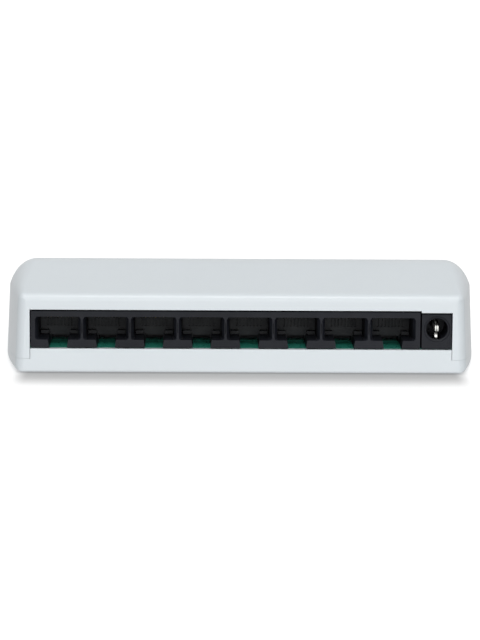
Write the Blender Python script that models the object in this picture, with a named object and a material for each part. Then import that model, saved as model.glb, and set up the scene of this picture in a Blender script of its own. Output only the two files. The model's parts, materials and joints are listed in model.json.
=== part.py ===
"""Eight-port desktop network switch: case, circuit board, jacks, contacts and lights.

Row frame: +Z up, the ports face -Y, the indicator lights face +Y and the DC inlet is at +X.
The origin lies under the middle of the case, on the plane that the feet stand on.

Everything hangs from the empty "case", whose origin is at the bottom of the port face. In that frame
x runs across, depth runs from the port face to the front, and height runs up from the case's underside.
Sizes are in millimetres until a mesh or a location is written, which is in metres.
"""
import math

import bmesh
import bpy
from mathutils import Matrix, Vector

MM = 0.001
GAP = 0.3

# Case
CASE_DEPTH = 80.0
HALF_WIDTH = 65.65
SIDE_BOW = 5.05
SIDE_DRAFT = math.radians(2.6)
WALL = 2.0
FOOT_PROUD = 0.5
SEAM = 4.0
CREASE = (0.0, 22.55)
RIDGE = (23.4, 30.75)
NOSE = (80.0, 17.0)
CREASE_RADIUS = 3.2
RIDGE_RADIUS = 12.0
NOSE_RADIUS = 5.0
REAR_CORNER_RADIUS = 2.2
FRONT_CORNER_RADIUS = 8.0
HEM_RADIUS = 1.6
REAR_HEM_RADIUS = 0.6
LEAST_RADIUS = 0.4
ARC_STEPS = 5
BEYOND = 90.0

# Rounding between side wall and roof: width, height and the angle at which it leaves the wall
SHOULDER_REAR = (1.5, 1.5, 0.0)
SHOULDER_RIDGE = (8.25, 7.6, 23.0)
SHOULDER_NOSE = (5.5, 5.0, 20.0)

# Slots in the side walls and the floor: how many, first place, pitch, half width, extent
SIDE_VENTS = 9
SIDE_VENT_START = 34.0
SIDE_VENT_PITCH = 3.4
SIDE_VENT_HALF_WIDTH = 0.7
SIDE_VENT_HEIGHTS = (8.0, 15.0)
FLOOR_VENTS = 6
FLOOR_VENT_START = 29.0
FLOOR_VENT_PITCH = 3.6
FLOOR_VENT_HALF_WIDTH = 0.8
FLOOR_VENT_DEPTHS = (50.0, 64.0)

# Upright lips on the tray that centre the cover
LIP_TOP = 6.2
LIP_THICKNESS = 1.2
LIP_DEPTHS = (30.0, 66.0)
FRONT_LIP_HALF_WIDTH = 48.0
FRONT_LIP_FACE = CASE_DEPTH - WALL - 0.5

# Port opening in the case
OPENING_LEFT = -61.7
OPENING_RIGHT = 61.7
OPENING_TOP = 18.25
OPENING_TOP_INLET = 17.7
OPENING_STEP = 52.6
STRIP_TOP = 6.95

# Circuit board
PCB_TOP = 6.95
PCB_THICKNESS = 1.6
PCB_HALF_WIDTH = 62.6
PCB_REAR = 2.3
PCB_FRONT = 72.0
PCB_SHOULDER = 63.0
PCB_SHOULDER_HALF_WIDTH = 51.0
PART_BASE = PCB_TOP + GAP

# Gang of jacks
PORTS = 8
PORT_PITCH = 13.97
FIRST_PORT = -53.48
GANG_LEFT = OPENING_LEFT + GAP
GANG_RIGHT = OPENING_STEP - GAP
GANG_FACE = 0.5
GANG_BACK = 17.0
GANG_TOP = OPENING_TOP - GAP
CAVITY_HALF_WIDTH = 5.9
CAVITY_FLOOR = PCB_TOP + 2.45
CAVITY_ROOF = PCB_TOP + 9.05
LATCH_HALF_WIDTH = 2.9
MOUTH_FLARE = 0.55
MOUTH_DEPTH = 1.0
INSERT_FACE = 12.6
ROOF_RECESS_TOP = PCB_TOP + 10.15
ROOF_RECESS_START = 3.4

# Contacts of one port
WIRES = 8
WIRE_PITCH = 1.02
WIRE_WIDTH = 0.4
WIRE_ROOT = (4.2, PCB_TOP + 9.55)
WIRE_ROOT_SECTION = (0.8, 0.45)
WIRE_REACH = (7.2, -1.95)

# DC inlet
INLET_LEFT = GANG_RIGHT + 0.45
INLET_RIGHT = OPENING_RIGHT - GAP
INLET_CENTRE = (57.22, PCB_TOP + 6.15)
INLET_BORE_RADIUS = 3.15
INLET_BORE_DEPTH = 10.5
INLET_BACK = 14.0
INLET_SLOT_HALF_WIDTH = 1.3
INLET_SLOT_FLOOR = PCB_TOP + 1.55
INLET_SLOT_DEPTHS = (1.8, 12.2)
PIN_RADIUS = 1.0
PIN_START = 1.6
PIN_LENGTH = 13.4
SPRING_ROOT = (10.8, PCB_TOP + 2.15)
SPRING_THICKNESS = 0.3
SPRING_HALF_WIDTH = 1.0

# Fastenings and feet: (x, depth)
CASE_SCREWS = ((-59.5, 24.0), (59.5, 24.0), (-58.0, 70.0), (58.0, 70.0))
CASE_BOSS_RADIUS = 3.5
CASE_BOSS_TOPS = (28.6, 28.6, 18.2, 18.2)
CASE_BOSS_HOLE_TOP = 14.0
TRAY_BOSS_RADIUS = 4.6
SCREW_RADIUS = 1.2
SCREW_HOLE_RADIUS = SCREW_RADIUS + GAP
SCREW_HEAD_RADIUS = 2.6
SCREW_HEAD_HEIGHT = 1.5
CASE_SCREW_LENGTH = 9.0
PCB_SCREW_LENGTH = 4.8
COUNTERBORE_RADIUS = SCREW_HEAD_RADIUS + 2 * GAP
COUNTERBORE = 2.2
PCB_SCREWS = ((-36.0, 40.0), (36.0, 40.0))
PCB_POST_RADIUS = 3.2
FEET = ((-54.0, 9.0), (54.0, 9.0), (-44.0, 70.0), (44.0, 70.0))
FOOT_RADIUS = 4.8
FOOT_POCKET = 0.6
LABEL = ((-22.0, 26.0), (22.0, 50.0))
LABEL_RECESS = 0.5

# Parts on the board: place as (x, depth) of the middle, size as (x, depth, height)
TRANSFORMER_SIZE = (16.0, 9.5, 5.6)
TRANSFORMER_DEPTH = 26.0
RESIN_BLOCKS = {
    "switch_chip": ((-6.0, 46.0), (20.0, 14.0, 2.4)),
    "inductor": ((46.0, 46.0), (6.8, 6.8, 3.6)),
    "regulator": ((46.0, 54.5), (5.0, 4.0, 1.6)),
    "diode": ((57.0, 34.0), (2.8, 5.2, 2.2)),
}
METAL_BLOCKS = {
    "crystal": ((14.0, 47.0), (11.0, 4.6, 3.4)),
    "fuse": ((50.5, 34.0), (3.2, 4.6, 1.2)),
}
CAPACITORS = ((56.0, 44.0), (56.0, 54.0))
CAPACITOR_RADIUS = 3.15
CAPACITOR_HEIGHT = 7.7

# Indicator lights
LIGHT_HEIGHT = 9.2
LIGHT_XS = [-40.0] + [-24.0 + 9.0 * i for i in range(PORTS)]
LAMP_SIZE = (2.0, 1.6, 1.2)
LAMP_SETBACK = 1.2
GUIDE_HEIGHT = 3.15
WINDOW = (3.2, 1.4)


def clear_scene():
    for obj in list(bpy.data.objects):
        bpy.data.objects.remove(obj, do_unlink=True)


def make_material(name, colour, roughness, metallic=0.0, alpha=1.0):
    material = bpy.data.materials.new(name)
    material.use_nodes = True
    shader = material.node_tree.nodes["Principled BSDF"]
    shader.inputs["Base Color"].default_value = (*colour, 1.0)
    shader.inputs["Roughness"].default_value = roughness
    shader.inputs["Metallic"].default_value = metallic
    shader.inputs["Alpha"].default_value = alpha
    material.diffuse_color = (*colour, alpha)
    return material


def make_materials():
    return {
        "case": make_material("case_plastic", (0.68, 0.74, 0.77), 0.42),
        "jack": make_material("jack_plastic", (0.018, 0.018, 0.022), 0.45),
        "board": make_material("board", (0.006, 0.085, 0.05), 0.4),
        "rubber": make_material("rubber", (0.03, 0.03, 0.03), 0.85),
        "gold": make_material("gold_contact", (0.83, 0.6, 0.22), 0.25, 1.0),
        "steel": make_material("steel", (0.62, 0.62, 0.64), 0.3, 1.0),
        "chip": make_material("chip_resin", (0.02, 0.02, 0.021), 0.6),
        "clear": make_material("clear_guide", (0.85, 0.9, 0.92), 0.1, 0.0, 0.45),
        "light": make_material("light_lens", (0.45, 0.8, 0.4), 0.2),
        "label": make_material("label_paper", (0.8, 0.8, 0.8), 0.5),
    }


def add_box(bm, low, high):
    """A box between two corners."""
    size = [high[i] - low[i] for i in range(3)]
    centre = [(high[i] + low[i]) / 2 for i in range(3)]
    place = Matrix.Translation(centre) @ Matrix.Diagonal((*size, 1.0))
    bmesh.ops.create_cube(bm, size=1.0, matrix=place)


def add_loft(bm, rings):
    """A closed solid through rings that hold the same number of points."""
    levels = [[bm.verts.new(point) for point in ring] for ring in rings]
    count = len(rings[0])
    for lower, upper in zip(levels, levels[1:]):
        for i in range(count):
            j = (i + 1) % count
            bm.faces.new((lower[i], lower[j], upper[j], upper[i]))
    bm.faces.new(list(reversed(levels[0])))
    bm.faces.new(levels[-1])


def add_prism(bm, outline, axis, start, end):
    """An outline swept straight along x, y (depth) or z; its points hold the other two coordinates."""
    place = {
        "x": lambda a, b, s: (s, a, b),
        "y": lambda a, b, s: (a, s, b),
        "z": lambda a, b, s: (a, b, s),
    }[axis]
    add_loft(bm, [[place(a, b, s) for a, b in outline] for s in (start, end)])


def add_turned(bm, centre, profile, axis="z", segments=20):
    """A turned solid: profile holds (radius, position along the axis) from end to end."""
    rings = []
    for radius, along in profile:
        ring = []
        for i in range(segments):
            angle = 2 * math.pi * i / segments
            a = centre[0] + radius * math.cos(angle)
            b = centre[1] + radius * math.sin(angle)
            ring.append((a, b, along) if axis == "z" else (a, along, b))
        rings.append(ring)
    add_loft(bm, rings)


def add_rod(bm, centre, radius, start, end, axis="z", segments=20):
    add_turned(bm, centre, ((radius, start), (radius, end)), axis, segments)


def write_mesh(name, bm):
    bmesh.ops.recalc_face_normals(bm, faces=bm.faces)
    bmesh.ops.scale(bm, vec=(MM, MM, MM), verts=bm.verts)
    mesh = bpy.data.meshes.new(name)
    bm.to_mesh(mesh)
    bm.free()
    return mesh


def make_object(name, bm, material, parent, location=(0, 0, 0), smooth=False):
    """A sub-part whose mesh is drawn about its own origin, in millimetres."""
    mesh = write_mesh(name, bm)
    mesh.materials.append(material)
    if smooth:
        mesh.shade_smooth()
        mesh.set_sharp_from_angle(angle=math.radians(35))
    obj = bpy.data.objects.new(name, mesh)
    bpy.context.scene.collection.objects.link(obj)
    obj.parent = parent
    obj.location = Vector(location) * MM
    return obj


def make_cutter(name, bm, parent):
    """A hidden helper solid for a Boolean."""
    obj = bpy.data.objects.new(name, write_mesh(name, bm))
    bpy.context.scene.collection.objects.link(obj)
    obj.parent = parent
    obj.hide_render = True
    obj.display_type = "WIRE"
    return obj


def combine(obj, helper, operation):
    modifier = obj.modifiers.new(helper.name, "BOOLEAN")
    modifier.operation = operation
    modifier.solver = "EXACT"
    modifier.object = helper


def rounded_path(corners, radii, steps):
    """An open path with each inner corner replaced by an arc."""
    path = [Vector(corners[0])]
    for i, radius in enumerate(radii, start=1):
        corner = Vector(corners[i])
        before = (Vector(corners[i - 1]) - corner).normalized()
        after = (Vector(corners[i + 1]) - corner).normalized()
        half = before.angle(after) / 2
        centre = corner + (before + after).normalized() * (radius / math.sin(half))
        first = corner + before * (radius / math.tan(half)) - centre
        sweep = first.angle_signed(corner + after * (radius / math.tan(half)) - centre)
        for k in range(steps + 1):
            turn = Matrix.Rotation(-sweep * k / steps, 2)
            path.append(centre + turn @ first)
    path.append(Vector(corners[-1]))
    return path


def roof_path(steps=6):
    """Side view of the roof from the port face over the ridge to the nose, as (depth, height)."""
    corners = ((0.0, 0.0), CREASE, RIDGE, NOSE, (CASE_DEPTH, 0.0))
    radii = (CREASE_RADIUS, RIDGE_RADIUS, NOSE_RADIUS)
    return rounded_path(corners, radii, steps)[1:-1]


def roof_height(depth):
    path = roof_path()
    for near, far in zip(path, path[1:]):
        if near.x <= depth <= far.x and far.x > near.x:
            return near.y + (far.y - near.y) * (depth - near.x) / (far.x - near.x)
    return path[-1].y


def quarter_inset(distance, radius):
    """How far a quarter round of that radius lies inside its edge, at a distance from the end."""
    if distance >= radius:
        return 0.0
    return radius - math.sqrt(radius ** 2 - (radius - distance) ** 2)


def end_inset(depth):
    """Plan rounding of the upright corners."""
    rear = quarter_inset(depth, REAR_CORNER_RADIUS)
    front = quarter_inset(CASE_DEPTH - depth, FRONT_CORNER_RADIUS)
    return rear + front


def half_width(depth):
    middle = CASE_DEPTH / 2
    bow = SIDE_BOW * (1 - ((depth - middle) / middle) ** 2)
    return HALF_WIDTH + bow - end_inset(depth)


def floor_height(depth):
    rear = quarter_inset(depth, REAR_HEM_RADIUS)
    front = quarter_inset(CASE_DEPTH - depth, HEM_RADIUS)
    return rear + front


def shoulder(depth):
    """Width, height and first angle of the rounding at a depth: almost sharp at the port face."""
    if depth < RIDGE[0]:
        near, far, share = SHOULDER_REAR, SHOULDER_RIDGE, depth / RIDGE[0]
    else:
        near, far, share = SHOULDER_RIDGE, SHOULDER_NOSE, (depth - RIDGE[0]) / (NOSE[0] - RIDGE[0])
    return [a + (b - a) * share for a, b in zip(near, far)]


def arc_points(centre, radius, start, end):
    points = []
    for k in range(ARC_STEPS + 1):
        angle = math.radians(start + (end - start) * k / ARC_STEPS)
        points.append((centre[0] + radius * math.cos(angle), centre[1] + radius * math.sin(angle)))
    return points


def shoulder_points(foot, width, height, start):
    """The rounding from the top of the side wall, which it leaves at an angle, to the roof."""
    first = math.radians(start)
    points = []
    for k in range(ARC_STEPS + 1):
        angle = first + (math.pi / 2 - first) * k / ARC_STEPS
        across = width * (1 - math.cos(angle) / math.cos(first))
        up = height * (math.sin(angle) - math.sin(first)) / (1 - math.sin(first))
        points.append((foot[0] - across, foot[1] + up))
    return points


def case_ring(depth, inset=0.0):
    """The case's cross-section at a depth, drawn in by inset on every side."""
    low = floor_height(depth) + inset
    high = roof_height(depth) - inset
    tallest = 0.45 * (high - low)
    drawn_in = inset + end_inset(depth)
    hem = min(max(HEM_RADIUS - drawn_in, LEAST_RADIUS), tallest)
    width, height, start = shoulder(depth)
    width = max(width - drawn_in, LEAST_RADIUS)
    height = min(max(height - drawn_in, LEAST_RADIUS), tallest)
    bottom = half_width(depth) - inset
    top = bottom - (high - height - low - hem) * math.tan(SIDE_DRAFT)
    right = arc_points((bottom - hem, low + hem), hem, -90, 0)
    right += shoulder_points((top, high - height), width, height, start)
    left = [(-x, z) for x, z in reversed(right)]
    return [(x, depth, z) for x, z in right + left]


def station_depths(start, end):
    """Depths of the rings: the roof's own points and those of the upright corners."""
    depths = {round(point.x, 4) for point in roof_path()}
    for k in range(1, ARC_STEPS + 1):
        share = 1 - math.cos(math.radians(90 * k / ARC_STEPS))
        depths.add(round(REAR_CORNER_RADIUS * share, 4))
        depths.add(round(CASE_DEPTH - FRONT_CORNER_RADIUS * share, 4))
    depths.update((40.0, 52.0))
    inner = sorted(d for d in depths if start + 0.15 < d < end - 0.15)
    kept = [start]
    for depth in inner:
        if depth - kept[-1] > 0.15:
            kept.append(depth)
    return kept + [end]


def add_case_body(bm, inset=0.0):
    depths = station_depths(inset, CASE_DEPTH - inset)
    add_loft(bm, [case_ring(depth, inset) for depth in depths])


def inside_cutter(name, parent):
    bm = bmesh.new()
    add_case_body(bm, WALL)
    return make_cutter(name, bm, parent)


def make_top_cover(materials, case):
    bm = bmesh.new()
    add_case_body(bm)
    cover = make_object("top_cover", bm, materials["case"], case, smooth=True)
    combine(cover, inside_cutter("cover_inside", case), "DIFFERENCE")

    bm = bmesh.new()
    add_box(bm, (-BEYOND, -BEYOND, -BEYOND), (BEYOND, 2 * BEYOND, SEAM))
    combine(cover, make_cutter("cover_below_seam", bm, case), "DIFFERENCE")

    bm = bmesh.new()
    for (x, depth), top in zip(CASE_SCREWS, CASE_BOSS_TOPS):
        add_rod(bm, (x, depth), CASE_BOSS_RADIUS, SEAM, top, segments=16)
    combine(cover, make_cutter("cover_bosses", bm, case), "UNION")

    bm = bmesh.new()
    for x, depth in CASE_SCREWS:
        add_rod(bm, (x, depth), SCREW_HOLE_RADIUS, SEAM - 1, CASE_BOSS_HOLE_TOP, segments=12)
    add_notch(bm)
    for x in LIGHT_XS:
        half = (WINDOW[0] / 2, WINDOW[1] / 2)
        low = (x - half[0], CASE_DEPTH - WALL - 1, LIGHT_HEIGHT - half[1])
        add_box(bm, low, (x + half[0], CASE_DEPTH + 1, LIGHT_HEIGHT + half[1]))
    add_side_vents(bm)
    combine(cover, make_cutter("cover_openings", bm, case), "DIFFERENCE")


def add_notch(bm):
    """The opening over the jacks, lower over the DC inlet, and open at the seam."""
    outline = (
        (OPENING_LEFT, SEAM - 1),
        (OPENING_RIGHT, SEAM - 1),
        (OPENING_RIGHT, OPENING_TOP_INLET),
        (OPENING_STEP, OPENING_TOP_INLET),
        (OPENING_STEP, OPENING_TOP),
        (OPENING_LEFT, OPENING_TOP),
    )
    add_prism(bm, outline, "y", -1.0, WALL + 0.6)


def add_side_vents(bm):
    """A row of upright slots in each side wall."""
    low, high = SIDE_VENT_HEIGHTS
    for side in (-1, 1):
        near, far = sorted((side * (HALF_WIDTH - WALL), side * (HALF_WIDTH + SIDE_BOW + 1)))
        for i in range(SIDE_VENTS):
            depth = SIDE_VENT_START + SIDE_VENT_PITCH * i
            front = depth + SIDE_VENT_HALF_WIDTH
            add_box(bm, (near, depth - SIDE_VENT_HALF_WIDTH, low), (far, front, high))


def make_base_tray(materials, case):
    bm = bmesh.new()
    add_case_body(bm)
    tray = make_object("base_tray", bm, materials["case"], case, smooth=True)
    combine(tray, inside_cutter("tray_inside", case), "DIFFERENCE")

    rim = SEAM - GAP
    bm = bmesh.new()
    add_prism(bm, strip_outline(rim), "y", -1.0, WALL + 0.5)
    combine(tray, make_cutter("tray_strip_outline", bm, case), "DIFFERENCE")
    bm = bmesh.new()
    add_box(bm, (-BEYOND, WALL + 0.4, rim), (BEYOND, BEYOND, BEYOND))
    combine(tray, make_cutter("tray_above_rim", bm, case), "DIFFERENCE")

    bm = bmesh.new()
    for side in (-1, 1):
        add_prism(bm, side_lip(side), "z", WALL / 2, LIP_TOP)
    back = FRONT_LIP_FACE - LIP_THICKNESS
    half = FRONT_LIP_HALF_WIDTH
    add_box(bm, (-half, back, WALL / 2), (half, FRONT_LIP_FACE, LIP_TOP))
    for x, depth in CASE_SCREWS:
        add_rod(bm, (x, depth), TRAY_BOSS_RADIUS, WALL / 2, rim, segments=16)
    for x, depth in PCB_SCREWS:
        add_rod(bm, (x, depth), PCB_POST_RADIUS, WALL / 2, PCB_TOP - PCB_THICKNESS - GAP, segments=16)
    combine(tray, make_cutter("tray_ribs", bm, case), "UNION")

    bm = bmesh.new()
    hole = SCREW_HOLE_RADIUS + 0.2
    profile = ((COUNTERBORE_RADIUS, -1.0), (COUNTERBORE_RADIUS, COUNTERBORE), (hole, COUNTERBORE + 0.0001),
               (hole, LIP_TOP))
    for place in CASE_SCREWS:
        add_turned(bm, place, profile, segments=16)
    for place in PCB_SCREWS:
        add_rod(bm, place, SCREW_HOLE_RADIUS, WALL - 0.4, PCB_TOP, segments=12)
    for place in FEET:
        add_rod(bm, place, FOOT_RADIUS + GAP, -1.0, FOOT_POCKET, segments=24)
    (left, near), (right, far) = LABEL
    add_box(bm, (left - GAP, near - GAP, -1.0), (right + GAP, far + GAP, LABEL_RECESS))
    add_floor_vents(bm)
    combine(tray, make_cutter("tray_holes", bm, case), "DIFFERENCE")


def strip_outline(rim):
    """What is cut from the tray at the port face: all above the rim and the strip under the jacks."""
    left = OPENING_LEFT + GAP
    right = OPENING_RIGHT - GAP
    return (
        (-BEYOND, rim),
        (left, rim),
        (left, STRIP_TOP),
        (right, STRIP_TOP),
        (right, rim),
        (BEYOND, rim),
        (BEYOND, BEYOND),
        (-BEYOND, BEYOND),
    )


def side_lip(side):
    """Plan of a lip that follows the inside of a side wall."""
    start, end = LIP_DEPTHS
    depths = [start + (end - start) * k / ARC_STEPS for k in range(ARC_STEPS + 1)]
    outer = [(side * (half_width(depth) - WALL - 2 * GAP), depth) for depth in depths]
    inner = [(x - side * LIP_THICKNESS, depth) for x, depth in reversed(outer)]
    return outer + inner


def add_floor_vents(bm):
    """Two groups of slots through the floor, on either side of the label."""
    near, far = FLOOR_VENT_DEPTHS
    for side in (-1, 1):
        for i in range(FLOOR_VENTS):
            x = side * (FLOOR_VENT_START + FLOOR_VENT_PITCH * i)
            low = (x - FLOOR_VENT_HALF_WIDTH, near, -1.0)
            add_box(bm, low, (x + FLOOR_VENT_HALF_WIDTH, far, WALL + 1))


def make_board(materials, case):
    bottom = PCB_TOP - PCB_THICKNESS
    outline = (
        (-PCB_HALF_WIDTH, PCB_REAR),
        (PCB_HALF_WIDTH, PCB_REAR),
        (PCB_HALF_WIDTH, PCB_SHOULDER),
        (PCB_SHOULDER_HALF_WIDTH, PCB_SHOULDER),
        (PCB_SHOULDER_HALF_WIDTH, PCB_FRONT),
        (-PCB_SHOULDER_HALF_WIDTH, PCB_FRONT),
        (-PCB_SHOULDER_HALF_WIDTH, PCB_SHOULDER),
        (-PCB_HALF_WIDTH, PCB_SHOULDER),
    )
    bm = bmesh.new()
    add_prism(bm, outline, "z", bottom, PCB_TOP)
    board = make_object("pcb", bm, materials["board"], case)
    bm = bmesh.new()
    for x, depth in CASE_SCREWS[:2]:
        add_rod(bm, (x, depth), CASE_BOSS_RADIUS + 0.8, bottom - 1, PCB_TOP + 1, segments=24)
    for x, depth in PCB_SCREWS:
        add_rod(bm, (x, depth), SCREW_HOLE_RADIUS + 0.1, bottom - 1, PCB_TOP + 1, segments=16)
    combine(board, make_cutter("pcb_holes", bm, case), "DIFFERENCE")


def port_x(index):
    return FIRST_PORT + PORT_PITCH * index


def make_gang(materials, case):
    """The jack housing: eight cavities with latch channels, open below and behind."""
    bm = bmesh.new()
    add_box(bm, (GANG_LEFT, GANG_FACE, PART_BASE), (GANG_RIGHT, GANG_BACK, GANG_TOP))
    gang = make_object("rj45_housing", bm, materials["jack"], case)

    cavities = bmesh.new()
    mouths = bmesh.new()
    pockets = bmesh.new()
    for i in range(PORTS):
        x = port_x(i)
        outline = cavity_outline(x, 0.0)
        add_prism(cavities, outline, "y", GANG_FACE - 1, INSERT_FACE + 0.5)
        rings = []
        for depth, flare in ((-0.5, MOUTH_FLARE * 1.5), (MOUTH_DEPTH, 0.0)):
            rings.append([(a, GANG_FACE + depth, b) for a, b in cavity_outline(x, flare)])
        add_loft(mouths, rings)
        inner = CAVITY_HALF_WIDTH - 0.6
        add_box(pockets, (x - inner, ROOF_RECESS_START, CAVITY_ROOF - 0.5),
                (x + inner, INSERT_FACE + 1, ROOF_RECESS_TOP))
    combine(gang, make_cutter("gang_cavities", cavities, case), "DIFFERENCE")
    combine(gang, make_cutter("gang_mouths", mouths, case), "DIFFERENCE")
    combine(gang, make_cutter("gang_roof_recesses", pockets, case), "DIFFERENCE")

    backs = bmesh.new()
    for i in range(PORTS):
        x = port_x(i)
        add_box(backs, (x - CAVITY_HALF_WIDTH, INSERT_FACE - GAP, PART_BASE - 1),
                (x + CAVITY_HALF_WIDTH, GANG_BACK + 1, ROOF_RECESS_TOP + 0.05))
    combine(gang, make_cutter("gang_backs", backs, case), "DIFFERENCE")


def cavity_outline(x, flare):
    """Front view of one port: a wide cavity over a latch channel that is open below."""
    wide = CAVITY_HALF_WIDTH + flare
    narrow = LATCH_HALF_WIDTH
    floor = CAVITY_FLOOR - flare * 0.3
    low = PART_BASE - 1.0
    return (
        (x - narrow, low),
        (x + narrow, low),
        (x + narrow, floor),
        (x + wide, floor),
        (x + wide, CAVITY_ROOF),
        (x - wide, CAVITY_ROOF),
        (x - wide, floor),
        (x - narrow, floor),
    )


def make_contact_inserts(materials, case):
    """The carrier that closes the back of each port."""
    half = CAVITY_HALF_WIDTH - GAP
    size = (half, GANG_BACK - INSERT_FACE - 0.2, ROOF_RECESS_TOP - GAP - PART_BASE)
    for i in range(PORTS):
        bm = bmesh.new()
        add_box(bm, (-half, 0.0, 0.0), size)
        place = (port_x(i), INSERT_FACE, PART_BASE)
        make_object(f"contact_insert_{i + 1}", bm, materials["jack"], case, place)


def add_comb(bm):
    """Eight wires side by side from one root bar, drawn about the root's axis."""
    deep, tall = WIRE_ROOT_SECTION
    section = ((-deep / 2, -tall / 2), (deep / 2, -tall / 2), (deep / 2, tall / 2), (-deep / 2, tall / 2))
    first = -WIRE_PITCH * (WIRES - 1) / 2
    edges = []
    for i in range(WIRES):
        centre = first + WIRE_PITCH * i
        edges += [centre - WIRE_WIDTH / 2, centre + WIRE_WIDTH / 2]
    edges = [edges[0] - 0.3] + edges + [edges[-1] + 0.3]
    add_loft(bm, [[(x, a, b) for a, b in section] for x in edges])
    roots = []
    for face in bm.faces:
        middle = face.calc_center_median()
        nearest = round((middle.x - first) / WIRE_PITCH)
        on_wire = abs(middle.x - first - nearest * WIRE_PITCH) < WIRE_WIDTH / 2 and 0 <= nearest < WIRES
        if on_wire and abs(middle.y - deep / 2) < 0.001:
            roots.append(face)
    grown = bmesh.ops.extrude_discrete_faces(bm, faces=roots)["faces"]
    tips = {vert for face in grown for vert in face.verts}
    bmesh.ops.translate(bm, verts=list(tips), vec=(0, *WIRE_REACH))


def make_contacts(materials, case):
    for i in range(PORTS):
        bm = bmesh.new()
        add_comb(bm)
        make_object(f"contacts_{i + 1}", bm, materials["gold"], case, (port_x(i), *WIRE_ROOT))


def make_inlet(materials, case):
    """The DC inlet: a block with a round bore, a centre pin and a sprung leaf under the bore."""
    x, height = INLET_CENTRE
    bm = bmesh.new()
    add_box(bm, (INLET_LEFT, GANG_FACE, PART_BASE), (INLET_RIGHT, INLET_BACK, OPENING_TOP_INLET - GAP))
    housing = make_object("dc_jack_housing", bm, materials["jack"], case)

    bm = bmesh.new()
    profile = (
        (INLET_BORE_RADIUS + 0.5, GANG_FACE - 0.5),
        (INLET_BORE_RADIUS, GANG_FACE + 0.5),
        (INLET_BORE_RADIUS, GANG_FACE + INLET_BORE_DEPTH),
        (PIN_RADIUS + GAP, GANG_FACE + INLET_BORE_DEPTH + 0.001),
        (PIN_RADIUS + GAP, INLET_BACK + 1),
    )
    add_turned(bm, (x, height), profile, axis="y", segments=24)
    combine(housing, make_cutter("inlet_bore", bm, case), "DIFFERENCE")

    bm = bmesh.new()
    half = INLET_SLOT_HALF_WIDTH
    near, far = INLET_SLOT_DEPTHS
    add_box(bm, (x - half, near, INLET_SLOT_FLOOR), (x + half, far, height - PIN_RADIUS))
    combine(housing, make_cutter("inlet_spring_slot", bm, case), "DIFFERENCE")

    bm = bmesh.new()
    tip = PIN_RADIUS * 0.4
    profile = ((tip, 0.0), (PIN_RADIUS - 0.2, 0.15), (PIN_RADIUS, 0.6), (PIN_RADIUS, PIN_LENGTH - 0.2),
               (tip, PIN_LENGTH))
    add_turned(bm, (0.0, 0.0), profile, axis="y", segments=16)
    make_object("dc_jack_centre_pin", bm, materials["steel"], case, (x, PIN_START, height), smooth=True)

    make_inlet_spring(materials, case)


def make_inlet_spring(materials, case):
    """A bent leaf, drawn about its root's axis, that reaches forward and rises into the bore."""
    underside = ((0.5, 0.0), (0.0, 0.0), (-5.6, 1.35), (-6.4, 1.3), (-7.6, 0.6))
    outline = list(underside)
    outline += [(a, b + SPRING_THICKNESS) for a, b in reversed(underside)]
    bm = bmesh.new()
    add_prism(bm, outline, "x", -SPRING_HALF_WIDTH, SPRING_HALF_WIDTH)
    place = (INLET_CENTRE[0], *SPRING_ROOT)
    make_object("dc_jack_spring", bm, materials["steel"], case, place)


def make_screw(name, materials, case, place, head_up, length):
    """A pan-head screw drawn about the underside of its head."""
    head = SCREW_HEAD_RADIUS
    profile = [(0.5, -SCREW_HEAD_HEIGHT), (head - 0.4, -SCREW_HEAD_HEIGHT + 0.3), (head, -0.5), (head, 0.0)]
    profile += [(SCREW_RADIUS, 0.001), (SCREW_RADIUS, length - 0.8), (0.5, length)]
    if head_up:
        profile = [(radius, -along) for radius, along in profile]
    bm = bmesh.new()
    add_turned(bm, (0.0, 0.0), profile, segments=12)
    make_object(name, bm, materials["steel"], case, place, smooth=True)


def make_fasteners(materials, case):
    for i, (x, depth) in enumerate(CASE_SCREWS, start=1):
        place = (x, depth, COUNTERBORE - GAP)
        make_screw(f"case_screw_{i}", materials, case, place, False, CASE_SCREW_LENGTH)
    for i, (x, depth) in enumerate(PCB_SCREWS, start=1):
        make_screw(f"pcb_screw_{i}", materials, case, (x, depth, PART_BASE), True, PCB_SCREW_LENGTH)


def make_feet_and_label(materials, case):
    top = FOOT_POCKET - GAP
    for i, (x, depth) in enumerate(FEET, start=1):
        bm = bmesh.new()
        profile = ((FOOT_RADIUS - 0.4, -FOOT_PROUD), (FOOT_RADIUS, -FOOT_PROUD + 0.4), (FOOT_RADIUS, top))
        add_turned(bm, (0.0, 0.0), profile, segments=24)
        make_object(f"foot_{i}", bm, materials["rubber"], case, (x, depth, 0.0), smooth=True)
    (left, near), (right, far) = LABEL
    bm = bmesh.new()
    add_box(bm, (left, near, 0.05), (right, far, 0.2))
    make_object("rating_label", bm, materials["label"], case)


def make_block(name, material, case, place, size):
    """A board-mounted block: place is (x, depth) of its middle, size is (x, depth, height)."""
    bm = bmesh.new()
    add_box(bm, (-size[0] / 2, -size[1] / 2, 0.0), (size[0] / 2, size[1] / 2, size[2]))
    bmesh.ops.bevel(bm, geom=bm.edges[:], offset=min(size) * 0.12, segments=1, affect="EDGES")
    make_object(name, bm, material, case, (*place, PART_BASE))


def make_can(name, material, case, place):
    radius, height = CAPACITOR_RADIUS, CAPACITOR_HEIGHT
    bm = bmesh.new()
    profile = ((radius * 0.9, 0.0), (radius, 0.3), (radius, height - 0.3), (radius * 0.9, height))
    add_turned(bm, (0.0, 0.0), profile, segments=20)
    make_object(name, bm, material, case, (*place, PART_BASE), smooth=True)


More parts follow.
